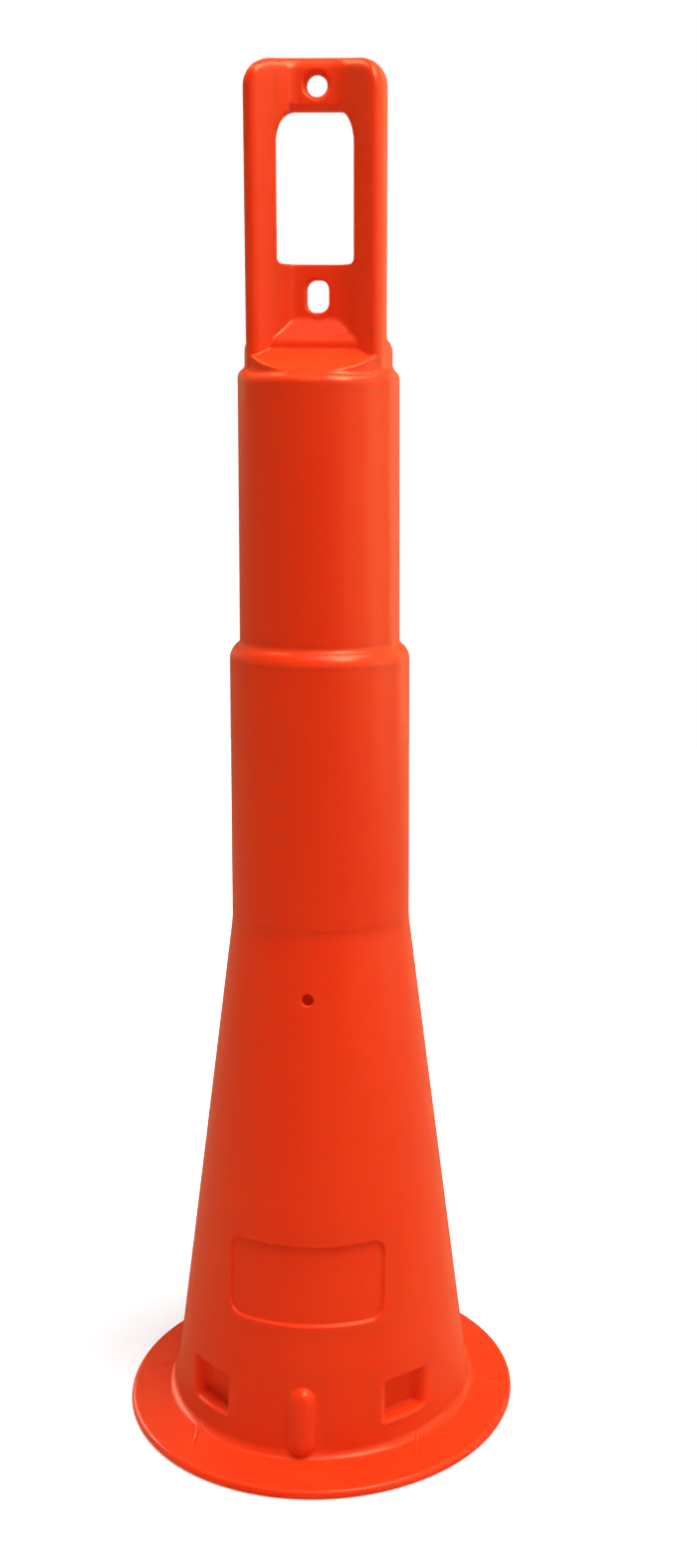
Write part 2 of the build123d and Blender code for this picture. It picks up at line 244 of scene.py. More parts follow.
def floor_paper():
    """White paper sheet that shows the shadow."""
    material = bpy.data.materials.new("white_paper_sweep")
    tree = cleared(material)
    paper = add_node(tree, "ShaderNodeBsdfDiffuse", inputs={"Color": linear("#E4E4E4")})
    place = add_node(tree, "ShaderNodeTexCoord").outputs["Object"]
    away = add_node(tree, "ShaderNodeVectorMath", {"operation": "LENGTH"}, {0: place})
    fade = add_node(tree, "ShaderNodeMapRange", inputs={
        "Value": away.outputs["Value"], "From Min": 0.2, "From Max": 1.0, "To Min": 0.35, "To Max": 1.0})
    glow = add_node(tree, "ShaderNodeEmission", inputs={
        "Color": linear("#FFFFFF"), "Strength": fade.outputs["Result"]})
    none = add_node(tree, "ShaderNodeEmission", inputs={"Strength": 0.0})
    lift = add_node(tree, "ShaderNodeMixShader", inputs={
        "Fac": seen_directly(tree), 1: none.outputs["Emission"], 2: glow.outputs["Emission"]})
    both = add_node(tree, "ShaderNodeAddShader", inputs={0: paper.outputs["BSDF"], 1: lift.outputs["Shader"]})
    add_node(tree, "ShaderNodeOutputMaterial", inputs={"Surface": both.outputs["Shader"]})
    return material


def white_world(light_level):
    """World that is white when seen and dimmer as a light."""
    world = bpy.data.worlds.new("white_room")
    tree = cleared(world)
    level = add_node(tree, "ShaderNodeMapRange", inputs={
        "Value": seen_directly(tree), "To Min": light_level, "To Max": 1.0})
    white = add_node(tree, "ShaderNodeBackground", inputs={
        "Color": linear("#FFFFFF"), "Strength": level.outputs["Result"]})
    add_node(tree, "ShaderNodeOutputWorld", inputs={"Surface": white.outputs["Background"]})
    return world


floor_mesh = bpy.data.meshes.new("floor")
half_floor = floor_size / 2
floor_corners = [(x * half_floor, y * half_floor, 0) for x, y in ((-1, -1), (1, -1), (1, 1), (-1, 1))]
floor_mesh.from_pydata(floor_corners, [], [(0, 1, 2, 3)])
floor_mesh.materials.append(floor_paper())
new_object("floor", floor_mesh)
bpy.context.scene.world = white_world(light_level=0.31)
bpy.context.scene.view_settings.view_transform = "Standard"
print("floor", floor_size, "m wide")

# %% [markdown]
# Light comes as in a product studio. A large soft box hangs overhead, for the flange and the top
# faces, a tall one stands on the right and a weak one fills the front. The glints are lamps that
# show only as a gloss on the plastic: one overhead and one in front for the roundings, three on the
# right that make the right side of the round body paler step by step, and three on the left for the
# edges and the flange. A weak lamp stands inside the hollow body, because daylight shines through
# the real wall a little: without it the vent would be black.

# %% Lights
body_middle = (0.0, 0.0, 0.5)
flange_left = (-0.1, -0.06, 0.02)
warm_white = "#FFE7A8"
pale_white = "#FFEBD0"


def soft_box(name, place, width, height, power, roll=0.0, colour="#FFFFFF", target=body_middle, beam=180.0):
    """Rectangular lamp that looks at a target. Its roll and its beam are in degrees."""
    data = bpy.data.lights.new(name, "AREA")
    data.shape = "RECTANGLE"
    data.color = linear(colour)[:3]
    data.size = width
    data.size_y = height
    data.energy = power
    data.spread = math.radians(beam)
    lamp = new_object(name, data)
    lamp.visible_camera = False
    backwards = np.subtract(place, target)
    sideways = np.cross((0, 0, 1), backwards)
    sideways = sideways / np.linalg.norm(sideways)
    backwards = backwards / np.linalg.norm(backwards)
    upwards = np.cross(backwards, sideways)
    turn = Matrix(np.stack([sideways, upwards, backwards], axis=1).tolist()).to_4x4()
    lamp.matrix_world = Matrix.Translation(place) @ turn @ Matrix.Rotation(math.radians(roll), 4, "Z")
    return lamp


soft_box("overhead_strip", (0.6, -0.5, 3.2), 1.9, 1.2, 102, roll=-35)
soft_box("right_box", (2.1, 0.1, 1.1), 0.8, 1.6, 6)
soft_box("fill_box", (0.5, -2.2, 1.8), 1.2, 1.2, 6.5)
glints = [
    soft_box("overhead_glint", (0.75, -0.1, 2.55), 1.5, 0.4, 150, roll=-35, colour=warm_white),
    soft_box("front_glint", (0.7, -0.6, 1.9), 0.45, 0.45, 150, colour=warm_white),
    soft_box("left_glint", (-1.26, 1.16, 1.05), 0.5, 0.5, 5, colour=warm_white),
    soft_box("left_top_glint", (-0.57, 0.27, 1.88), 0.3, 0.3, 25, colour=warm_white),
    soft_box("left_low_glint", (-0.485, 0.187, 0.224), 0.25, 0.25, 1.1, colour=pale_white,
             target=flange_left, beam=40.0),
    soft_box("right_glint", (2.1, 0.1, 1.1), 1.4, 2.0, 118, colour=warm_white),
    soft_box("right_rear_glint", (1.4, 1.55, 1.1), 0.7, 2.0, 60, colour=warm_white),
    soft_box("right_front_glint", (1.72, -1.2, 1.1), 1.0, 2.0, 46, colour=warm_white),
]
for glint in glints:
    glint.visible_diffuse = False
glow_data = bpy.data.lights.new("glow_inside", "POINT")
glow_data.energy = 0.08
glow_data.shadow_soft_size = 0.02
glow = new_object("glow_inside", glow_data)
glow.location = (0, 0, 0.37)
print("lamps", [lamp.name for lamp in bpy.data.lights])

# %% [markdown]
# A piece rides on the one body of the model, names and hides the CAD nodes that it stands for, and
# is made in the one plastic material. Smooth shading needs the true direction of the surface at each
# corner, so a piece may bring its own normals, with flat ones where two pieces meet.


def register(piece, nodes):
    """Let a piece ride on the body and stand for its CAD nodes."""
    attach(piece, "root")
    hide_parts(*nodes)
    piece.data.calc_loop_triangles()
    print(piece.name, len(piece.data.loop_triangles), "triangles, for", ", ".join(nodes))


def shade(mesh, normals, flat):
    """Give a mesh smooth normals, with flat ones on the faces that are marked."""
    mesh.shade_smooth()
    corners = np.zeros(len(mesh.loops), dtype=np.int32)
    mesh.loops.foreach_get("vertex_index", corners)
    corner_normals = np.array(normals)[corners]
    for face in mesh.polygons:
        if flat[face.index]:
            corner_normals[face.loop_start:face.loop_start + face.loop_total] = face.normal
    mesh.normals_split_custom_set(corner_normals.tolist())
    return corner_normals


def new_mesh(name, points, faces):
    """Mesh in metres from points in millimetres."""
    mesh = bpy.data.meshes.new(name)
    mesh.from_pydata((np.array(points) * mm).tolist(), [], faces)
    mesh.materials.append(polyethylene)
    return mesh


# %% [markdown]
# The round sections follow one rule: a profile turned about the upright axis. Geometry Nodes makes
# them like a lathe: the profile is a closed loop of points, and Curve to Mesh carries it round a
# circle. Curve to Mesh lays the profile's second coordinate downwards, so the profile is given with
# its heights turned over. All trees of this lesson start and end alike: with named inputs, and with
# real geometry that has its material.

# %% Lathe tree
axis_radius = 60.0
steps_round = 288
sharp_angle = math.radians(40)


def new_tree(name, sockets, result):
    """Geometry tree with named inputs and one result, and what its inputs give."""
    tree = bpy.data.node_groups.new(name, "GeometryNodeTree")
    for socket, kind in sockets.items():
        tree.interface.new_socket(socket, in_out="INPUT", socket_type="NodeSocket" + kind)
    tree.interface.new_socket(result, in_out="OUTPUT", socket_type="NodeSocketGeometry")
    return tree, add_node(tree, "NodeGroupInput").outputs


def finish_tree(tree, shape, finish, result):
    """Make a tree's shape real, give it its material and hand it out."""
    real = add_node(tree, "GeometryNodeRealizeInstances", inputs={"Geometry": shape})
    finished = add_node(tree, "GeometryNodeSetMaterial", inputs={
        "Geometry": real.outputs["Geometry"], "Material": finish})
    add_node(tree, "NodeGroupOutput", inputs={result: finished.outputs["Geometry"]})
    return tree


def lathe_tree():
    """Geometry tree that turns a closed profile about the upright axis."""
    sockets = {"Profile": "Geometry", "Steps round": "Int", "Axis radius": "Float", "Finish": "Material"}
    tree, given = new_tree("lathe", sockets, "Ring")
    profile = add_node(tree, "GeometryNodeMeshToCurve", inputs={"Mesh": given["Profile"]})
    path = add_node(tree, "GeometryNodeCurvePrimitiveCircle", inputs={
        "Resolution": given["Steps round"], "Radius": given["Axis radius"]})
    ring = add_node(tree, "GeometryNodeCurveToMesh", inputs={
        "Curve": path.outputs["Curve"], "Profile Curve": profile.outputs["Curve"]})
    soft = add_node(tree, "GeometryNodeSetShadeSmooth", inputs={"Geometry": ring.outputs["Mesh"]})
    return finish_tree(tree, soft.outputs["Geometry"], given["Finish"], "Ring")


def grow(name, seed, tree, values):
    """Run a geometry tree on a seed mesh and keep the result as a plain mesh."""
    piece = new_object(name, seed)
    modifier = piece.modifiers.new("grow", "NODES")
    modifier.node_group = tree
    for socket in tree.interface.items_tree:
        if socket.in_out == "INPUT" and socket.name in values:
            modifier[socket.identifier] = values[socket.name]
    graph = bpy.context.evaluated_depsgraph_get()
    result = bpy.data.meshes.new_from_object(piece.evaluated_get(graph))
    piece.modifiers.clear()
    piece.data = result
    return piece


lathe = lathe_tree()
print("lathe tree", len(lathe.nodes), "nodes")

# %% Turn a profile


def turned(name, outline, nodes):
    """Turn a closed outline of (radius, height) points into a ring."""
    radius, height = np.array(outline).T
    area = np.sum(radius * np.roll(height, -1) - np.roll(radius, -1) * height)
    order = slice(None) if area < 0 else slice(None, None, -1)
    loop = np.stack([radius - axis_radius, -height, 0 * radius], axis=1)[order] * mm
    count = len(loop)
    seed = bpy.data.meshes.new(name)
    seed.from_pydata(loop.tolist(), [(k, (k + 1) % count) for k in range(count)], [])
    piece = grow(name, seed, lathe, {
        "Steps round": steps_round, "Axis radius": axis_radius * mm, "Finish": polyethylene})
    piece.data.set_sharp_from_angle(angle=sharp_angle)
    register(piece, nodes)
    return piece


def walled(line):
    """Closed outline from an outer line and the same line moved inwards by the wall."""
    line = np.array(line)
    return np.concatenate([line, (line - (wall, 0))[::-1]])


print("profiles are turned in", steps_round, "steps")

# %% [markdown]
# The sleeves are the straight seats for two reflective bands each. Between them and above them the
# wall steps in. On the real object that step is a bulge that runs over into a hollow, two arcs that
# touch, so the light makes a bright line on the bulge and a soft shade above it.

# %% Sleeves and steps
step_bulge_share = 0.70
shoulder_bulge_share = 0.62
arc_steps = 14


def step_in(height, bottom, top, bottom_radius, top_radius, bulge_share):
    """Radius of a step that bulges below and hollows above, at a height."""
    width = bottom_radius - top_radius
    rise = top - bottom
    whole = (rise ** 2 + width ** 2) / (2 * width)
    bulge = bulge_share * whole
    hollow = whole - bulge
    below = np.clip(height - bottom, 0, bulge_share * rise)
    above = np.clip(top - height, 0, (1 - bulge_share) * rise)
    bulging = bottom_radius - bulge + np.sqrt(bulge ** 2 - below ** 2)
    hollowing = top_radius + hollow - np.sqrt(hollow ** 2 - above ** 2)
    return np.where(height < bottom + bulge_share * rise, bulging, hollowing)


step_heights = np.linspace(step_bottom, step_top, 2 * arc_steps)
step_radii = step_in(step_heights, step_bottom, step_top, step_radius, upper_sleeve_radius, step_bulge_share)
shoulder_start = shoulder_bottom - 6.0
lower_line = [(lower_sleeve_radius, sleeve_bottom), (step_radius, step_bottom)]
upper_line = [(upper_sleeve_radius, step_top), (shoulder_radius, shoulder_start)]
turned("lower_sleeve_wall", walled(lower_line), ["lower_sleeve"])
turned("step_shoulder_wall", walled(np.stack([step_radii, step_heights], axis=1)), ["step_shoulder"])
turned("upper_sleeve_wall", walled(upper_line), ["upper_sleeve"])

# %% [markdown]
# The rim is the rounded outer edge of the flange, on which the object stands. It is turned too:
# two arcs outside, and a short slope that runs on into the flange's top.

# %% Rim
plate_radius = high("base_flange", 0)
plate_thickness = 7.4
rim_top_round = 4.5
rim_fall = math.radians(10.3)
rim_middle = flange_radius - rim_top_round
rim_drop = (rim_middle - plate_radius) * math.tan(rim_fall)
rim_level = plate_thickness - rim_drop - rim_top_round / math.cos(rim_fall)


def arc_points(middle, level, radius, start, end):
    """Points of an arc in the profile's plane."""
    return [(middle + radius * math.cos(a), level + radius * math.sin(a))
            for a in np.linspace(start, end, arc_steps)]


rim_outline = [(plate_radius, 0.0)]
rim_outline += arc_points(flange_radius - rim_level, rim_level, rim_level, -math.pi / 2, 0)
rim_outline += arc_points(rim_middle, rim_level, rim_top_round, 0, math.pi / 2 - rim_fall)[1:]
rim_outline += [(plate_radius, plate_thickness)]
turned("rim_edge", rim_outline, ["rim_bead"])

# %% [markdown]
# The rest of the body is cut and blended in ways that a lathe can't follow. It is described as a
# field: a function that is negative inside the plastic, positive outside, and about the distance to
# the surface in between. Two fields join or cut each other with a round edge of any radius, which is
# just what a blown wall does.

# %% Rounded fields


def round_and(first, second, radius):
    """What two fields share, with a rounded edge."""
    corner = np.hypot(np.maximum(first + radius, 0), np.maximum(second + radius, 0))
    return np.minimum(np.maximum(first, second), -radius) + corner


def round_or(first, second, radius):
    """Two fields joined, with a rounded hollow between them."""
    corner = np.hypot(np.maximum(radius - first, 0), np.maximum(radius - second, 0))
    return np.maximum(np.minimum(first, second), radius) - corner


def field_normals(field, points):
    """Direction in which a field grows fastest, at each point."""
    nudge = 0.04
    slopes = []
    for axis in range(3):
        shift = np.zeros(3)
        shift[axis] = nudge
        ahead = field(*np.moveaxis(points + shift, -1, 0))
        behind = field(*np.moveaxis(points - shift, -1, 0))
        slopes.append(ahead - behind)
    slopes = np.stack(slopes, axis=-1)
    return slopes / np.maximum(np.linalg.norm(slopes, axis=-1, keepdims=True), 1e-9)


print("a corner rounded by 2 mm stands back", round(float(round_and(0.0, 0.0, 2.0)), 2), "mm")

# %% [markdown]
# The cone and the flange are one plain field: the cone's wall, the slightly conical top of the
# flange, and a small fillet between them. Close to the lower sleeve the cone bends upright in a
# wide arc.

# %% Cone and flange field
cone_base_radius = 126.4
cone_foot_height = 421.0
cone_slope = (cone_base_radius - lower_sleeve_radius) / cone_foot_height
cone_angle = math.atan(cone_slope)
bend_radius = 100.0
bend_bottom = sleeve_bottom - bend_radius * math.sin(cone_angle)
flange_fillet = 6.0
corner_height = 13.0
corner_radius = cone_base_radius - cone_slope * corner_height
flange_slope = (corner_height - plate_thickness) / (plate_radius - corner_radius)
flange_lean = math.cos(math.atan(flange_slope))


def cone_radius(height):
    """Outer radius of the cone at a height, with the bend at its top."""
    straight = cone_base_radius - cone_slope * height
    rest = np.clip(sleeve_bottom - height, 0, bend_radius * math.sin(cone_angle))
    bent = lower_sleeve_radius + bend_radius - np.sqrt(bend_radius ** 2 - rest ** 2)
    return np.where(height < bend_bottom, straight, bent)


def plain_base(x, y, z):
    """Cone and flange without any of their details."""
    radius = np.hypot(x, y)
    cone = (radius - cone_radius(z)) * math.cos(cone_angle)
    plate = (z - corner_height + flange_slope * (radius - corner_radius)) * flange_lean
    return round_or(cone, plate, flange_fillet)


print("cone angle", round(math.degrees(cone_angle), 2), "degrees, bend starts at", round(bend_bottom, 1))

# %% [markdown]
# To make a skin from the field, rays are cast at it from outside, in rows and columns like a net.
# Over the flange the rays point down, over the cone they point inwards, and in the corner they fan
# out from one point. Each hit is a point of the skin, and a step further along the ray is a point
# of the inner wall.

# %% Rays
fan_radius = corner_radius + 16.0
fan_height = 30.4
fan_end = -math.pi + cone_angle
fan_count = 41
ray_reach = 60.0
ray_lead = 20.0
ray_steps = 70
ray_share = 0.8


def fan_rows(count):
    """Rays that turn from straight down to square to the cone."""
    angles = np.linspace(-math.pi / 2, fan_end, count)
    starts = np.tile((fan_radius, fan_height), (count, 1))
    return starts, np.stack([np.cos(angles), np.sin(angles)], axis=1)


def plate_rows(radii):
    """Rays straight down on to the flange."""
    starts = np.stack([radii, np.full(len(radii), fan_height)], axis=1)
    return starts, np.tile((0.0, -1.0), (len(radii), 1))


def cone_rows(heights):
    """Rays square to the cone, which would meet it at the given heights."""
    inward = np.array([math.cos(fan_end), math.sin(fan_end)])
    wall_points = np.stack([cone_radius(heights), heights], axis=1)
    return wall_points - ray_lead * inward, np.tile(inward, (len(heights), 1))


def cast(field, starts, directions):
    """Distance along each ray to the field's surface."""
    travel = np.zeros(starts.shape[:-1])
    for _ in range(ray_steps):
        points = starts + directions * travel[..., None]
        travel = np.minimum(travel + ray_share * field(*np.moveaxis(points, -1, 0)), ray_reach)
    return travel


def spin(rows, azimuths):
    """Rows of rays, turned about the upright axis to each azimuth."""
    across = np.sin(azimuths)[None, :]
    forward = -np.cos(azimuths)[None, :]
    turned_rays = []
    for part in zip(*rows):
        part = np.concatenate(part)
        height = np.broadcast_to(part[:, 1:2], (len(part), len(azimuths)))
        turned_rays.append(np.stack([part[:, :1] * across, part[:, :1] * forward, height], axis=-1))
    return turned_rays


def net(field, rays, thickness):
    """Outer points, their normals, inner points and ray directions of a net of rays."""
    origin, ray = rays
    travel = cast(field, origin, ray)
    depth = np.maximum(travel, cast(plain_base, origin, ray)) + np.array(thickness)[:, None]
    outer = origin + ray * travel[..., None]
    return outer, field_normals(field, outer), origin + ray * depth[..., None], ray


corner_fan = fan_rows(fan_count)
fan_hits = cast(plain_base, *(np.insert(part, 1, 0.0, axis=1) for part in corner_fan))
fan_levels = fan_height + corner_fan[1][:, 1] * fan_hits
seam_row = int(np.argmin(np.abs(fan_levels - high("base_flange", 2))))
print("flange and cone part at height", round(float(fan_levels[seam_row]), 2))

# %% [markdown]
# A net becomes a closed shell: outer quads, inner quads, and a narrow wall wherever a cell has no
# neighbour. Cells can be left out, so that a detail such as a pocket fills the window as a piece of
# its own.

# %% Shell from a net


def shell(keep, columns, wraps):
    """Faces of a shell over the kept cells, and which of them are flat."""
    row_count, cell_count = keep.shape
    inner_start = (row_count + 1) * columns
    faces = []
    flat = []
    for row, cell in np.argwhere(keep):
        right = (cell + 1) % columns
        ring = [row * columns + cell, row * columns + right]
        ring += [(row + 1) * columns + right, (row + 1) * columns + cell]
        ring = [int(corner) for corner in ring]
        under = [corner + inner_start for corner in ring]
        faces += [ring, under[::-1]]
        flat += [False, False]
        beside = [(row - 1, cell), (row, cell + 1), (row + 1, cell), (row, cell - 1)]
        for side, (other_row, other_cell) in enumerate(beside):
            other_cell = other_cell % cell_count if wraps else other_cell
            inside = 0 <= other_row < row_count and 0 <= other_cell < cell_count
            if not inside or not keep[other_row, other_cell]:
                start = ring[side]
                end = ring[(side + 1) % 4]
                faces.append([end, start, start + inner_start, end + inner_start])
                flat.append(True)
    return faces, flat


def compact(points, normals, faces):
    """Drop the points that no face uses."""
    used = np.unique(np.concatenate([np.array(face) for face in faces]))
    place = np.full(len(points), -1)
    place[used] = np.arange(len(used))
    return points[used], normals[used], [[int(place[corner]) for corner in face] for face in faces]


def shell_mesh(name, skin, keep=None, wraps=False):
    """Shaded mesh of a shell, with its corner normals. Unless told, it keeps every cell."""
    outer, outward, inner, inward = skin
    if keep is None:
        keep = np.ones(np.subtract(outer.shape[:2], 1), dtype=bool)
    faces, flat = shell(keep, outer.shape[1], wraps)
    points = np.concatenate([outer.reshape(-1, 3), inner.reshape(-1, 3)])
    normals = np.concatenate([outward.reshape(-1, 3), inward.reshape(-1, 3)])
    points, normals, faces = compact(points, normals, faces)
    mesh = new_mesh(name, points, faces)
    return mesh, shade(mesh, normals, flat)


def spread(stops, gaps):
    """Values from stop to stop, with about the given gap between them."""
    values = [stops[0]]
    for start, end, gap in zip(stops[:-1], stops[1:], gaps):
        count = max(1, round((end - start) / gap))
        values += list(np.linspace(start, end, count + 1)[1:])
    return np.array(values)


print("a spread", spread([0, 1, 3], [0.5, 1]))

# %% [markdown]
# Where the details sit: four lock pockets and two key ribs near the flange, which hold a drop-over
# rubber base, a recessed panel above them, and a small vent hole high on the front. Each gets a
# window in the net.

# %% Windows in the cone
skirt_start = 28.6
window_top = 76.0
pocket_angle = 41.5
pocket_half_window = 15.0
pocket_turns = [pocket_angle, -pocket_angle, 180 - pocket_angle, pocket_angle - 180]
rib_half_window = 9.0
rib_turns = [0.0, 180.0]
panel_half_window = 42.0
panel_window = (110.0, 188.0)
vent_half_window = 7.0
vent_window = (364.0, 387.0)
turn_gap = 1.5

breaks = {-180.0, 180.0 - rib_half_window, rib_half_window - 180.0}
for half_window in (rib_half_window, panel_half_window, vent_half_window):
    breaks |= {-half_window, half_window}
for middle in pocket_turns:
    breaks |= {middle - pocket_half_window, middle + pocket_half_window}
breaks = sorted(breaks) + [180.0]
round_turns = spread(breaks, [turn_gap] * (len(breaks) - 1))[:-1]
cell_middles = round_turns + np.diff(np.append(round_turns, 180.0)) / 2


def near_turn(middle, half_window):
    """Which columns of cells lie within a window about an azimuth."""
    return np.abs((cell_middles - middle + 180) % 360 - 180) < half_window


print("columns round the cone", len(round_turns))

# %% [markdown]
# The flange is the lowest net: rays straight down on its top, then the fan into the fillet. Its
# inner points are its underside. The cells in front of the two ribs are left to the ribs.

# %% Flange
fillet_thickness = 4.2
plate_stops = np.linspace(plate_radius, fan_radius, 8)[:-1]
flange_rows = [plate_rows(plate_stops), tuple(part[:seam_row + 1] for part in corner_fan)]
fan_thickness = np.interp(np.arange(fan_count), [0, seam_row, fan_count - 1],
                          [plate_thickness, fillet_thickness, wall])
flange_thickness = np.concatenate([np.full(len(plate_stops), plate_thickness), fan_thickness[:seam_row + 1]])
flange_skin = net(plain_base, spin(flange_rows, np.radians(round_turns)), flange_thickness)
flange_keep = np.ones((len(flange_thickness) - 1, len(round_turns)), dtype=bool)
for middle in rib_turns:
    flange_keep[len(plate_stops):, near_turn(middle, rib_half_window)] = False
flange_mesh, _ = shell_mesh("flange_plate", flange_skin, flange_keep, True)
register(new_object("flange_plate", flange_mesh), ["base_flange"])

# %% [markdown]
# The skirt is the net above it, from the fillet to the lower sleeve, with a window for each detail.
# The vent hole is filled in: rings of points run from the edge of its window over a rounded
# edge, down the bore and back along the inner wall.

# %% Skirt net
skirt_levels = spread([skirt_start, window_top, *panel_window, *vent_window, bend_bottom, sleeve_bottom],
                      [8, 9, 6, 14, 6, 9, 2])
skirt_rows = [tuple(part[seam_row:] for part in corner_fan), cone_rows(skirt_levels)]
skirt_thickness = np.concatenate([fan_thickness[seam_row:], np.full(len(skirt_levels), wall)])
skirt_skin = net(plain_base, spin(skirt_rows, np.radians(round_turns)), skirt_thickness)
skirt_heights = skirt_skin[0][:, 0, 2]
row_middles = (skirt_heights[1:] + skirt_heights[:-1]) / 2
skirt_keep = np.ones((len(row_middles), len(round_turns)), dtype=bool)


def open_window(bottom, top, middle, half_window):
    """Leave out the skirt's cells between two heights, about an azimuth."""
    rows = (row_middles > bottom) & (row_middles < top)
    skirt_keep[np.ix_(rows, near_turn(middle, half_window))] = False


for middle in rib_turns:
    open_window(0, window_top, middle, rib_half_window)
for middle in pocket_turns:
    open_window(skirt_start - 0.05, window_top, middle, pocket_half_window)
open_window(*panel_window, 0, panel_half_window)
open_window(*vent_window, 0, vent_half_window)
print("skirt cells", int(skirt_keep.sum()), "of", skirt_keep.size)

# %% Vent hole
vent_height = 375.0
vent_radius = 4.75
vent_rounding = 1.1
vent_cells = np.argwhere(near_turn(0, vent_half_window))[:, 0]
vent_columns = np.append(vent_cells, vent_cells[-1] + 1)
vent_rows = np.argwhere((skirt_heights > vent_window[0] - 1) & (skirt_heights < vent_window[1] + 1))[:, 0]


def vent_field(x, y, z):
    """Cone with the vent bored through it, with a rounded edge."""
    return round_and(plain_base(x, y, z), vent_radius - np.hypot(x, z - vent_height), vent_rounding)


def window_edge(rows, columns):
    """Row and column of each corner round a window, anticlockwise from its lower left."""
    bottom = [(rows[0], column) for column in columns[:-1]]
    right = [(row, columns[-1]) for row in rows[:-1]]
    top = [(rows[-1], column) for column in columns[:0:-1]]
    left = [(row, columns[0]) for row in rows[:0:-1]]
    return bottom + right + top + left


def vent_rings(edge):
    """Points from the window's edge over the rounded edge, through the bore and back inside."""
    offset = edge[:, [0, 2]] - (0, vent_height)
    reach = np.linalg.norm(offset, axis=1)
    heading = offset / reach[:, None]
    rings = []
    for share in (0.35, 0.7, 0.9):
        rings.append((reach + share * (vent_radius + vent_rounding - reach), 0.0))
    for angle in np.radians([0, 20, 40, 60, 80, 90]):
        sink = vent_rounding * (1 - math.cos(angle))
        rings.append((vent_radius + vent_rounding * (1 - math.sin(angle)), sink))
    rings.append((vent_radius, wall))
    rings.append((0.5 * (reach + vent_radius), wall))
    points = []
    for radius, depth in rings:
        spot = heading * np.reshape(radius * np.ones(len(edge)), (-1, 1)) + (0, vent_height)
        surface = np.sqrt(cone_radius(spot[:, 1]) ** 2 - spot[:, 0] ** 2)
        points.append(np.stack([spot[:, 0], depth - surface, spot[:, 1]], axis=1))
    return np.array(points)


vent_edge = window_edge(list(vent_rows), list(vent_columns))
print("vent window has", len(vent_edge), "corners")

# %% Skirt mesh
skirt_outer, skirt_outward, skirt_inner, skirt_inward = skirt_skin
column_count = len(round_turns)
skirt_faces, skirt_flat = shell(skirt_keep, column_count, True)
vent_corners = [int(row * column_count + column) for row, column in vent_edge]
inner_start = skirt_outer.shape[0] * column_count
vent_walls = {frozenset((start, end)) for start, end in zip(vent_corners, np.roll(vent_corners, -1))}
kept = [k for k, face in enumerate(skirt_faces)
        if not (skirt_flat[k] and frozenset(face[:2]) in vent_walls)]
skirt_faces = [skirt_faces[k] for k in kept]
skirt_flat = [skirt_flat[k] for k in kept]

flat_outer = skirt_outer.reshape(-1, 3)
rings = vent_rings(flat_outer[vent_corners])
skirt_points = np.concatenate([flat_outer, skirt_inner.reshape(-1, 3), rings.reshape(-1, 3)])
vent_normals = field_normals(vent_field, rings)
vent_normals[-1] = skirt_inward.reshape(-1, 3)[vent_corners]
skirt_normals = np.concatenate([skirt_outward.reshape(-1, 3), skirt_inward.reshape(-1, 3),
                                vent_normals.reshape(-1, 3)])
corner_count = len(vent_corners)
ring_ids = [vent_corners]
ring_ids += [list(range(2 * inner_start + k * corner_count, 2 * inner_start + (k + 1) * corner_count))
             for k in range(len(rings))]
ring_ids += [[corner + inner_start for corner in vent_corners]]
for near, far in zip(ring_ids[:-1], ring_ids[1:]):
    for k in range(corner_count):
        after = (k + 1) % corner_count
        skirt_faces.append([near[k], near[after], far[after], far[k]])
        skirt_flat.append(False)
skirt_points, skirt_normals, skirt_faces = compact(skirt_points, skirt_normals, skirt_faces)
skirt_mesh = new_mesh("cone_wall", skirt_points, skirt_faces)
shade(skirt_mesh, skirt_normals, skirt_flat)
register(new_object("cone_wall", skirt_mesh), ["cone_skirt"])

# %% [markdown]
# The panel is a shallow recess with rounded corners for an owner's name. Here it is bare. Seen from
# the front it is a rounded rectangle, cut into the cone to an even depth. The net is finest where its
# edge runs.

# %% Panel
panel_width = 122.5
panel_height = 63.5
panel_bottom = 117.2
panel_corner = 10.0
panel_recess = 2.6
panel_inner_round = 1.7
panel_edge_round = 1.6


def rounded_rectangle(across, up, width, height, corner):
    """Distance to a rounded rectangle about the origin."""
    side = np.abs(across) - width / 2 + corner
    end = np.abs(up) - height / 2 + corner
    outside = np.hypot(np.maximum(side, 0), np.maximum(end, 0))
    return outside + np.minimum(np.maximum(side, end), 0) - corner


def panel_field(x, y, z):
    """Cone with the recessed panel."""
    base = plain_base(x, y, z)
    up = z - panel_bottom - panel_height / 2
    outline = rounded_rectangle(x, up, panel_width, panel_height, panel_corner)
    recess = round_and(outline, -base - panel_recess, panel_inner_round)
    return round_and(base, -recess, panel_edge_round)


panel_turns = spread([-panel_half_window, -39.4, -30, 30, 39.4, panel_half_window], [0.9, 0.3, 1.6, 0.3, 0.9])
panel_levels = spread([panel_window[0], 114.6, 121.2, 129, 169, 177, 183.4, panel_window[1]],
                      [1.6, 0.4, 1.1, 3, 1.1, 0.4, 1.6])
panel_rays = spin([cone_rows(panel_levels)], np.radians(panel_turns))
panel_skin = net(panel_field, panel_rays, np.full(len(panel_levels), wall))
panel_mesh, _ = shell_mesh("panel_tray", panel_skin)
register(new_object("panel_tray", panel_mesh), ["blank_panel"])

# %% [markdown]
# Pockets and ribs repeat round the cone, so each is made once at the front and Geometry Nodes puts
# the copies in place: one point for each copy, with its turn as an attribute, and an instance on
# every point. The normals of the first one are turned with each copy.

# %% Copies round the axis


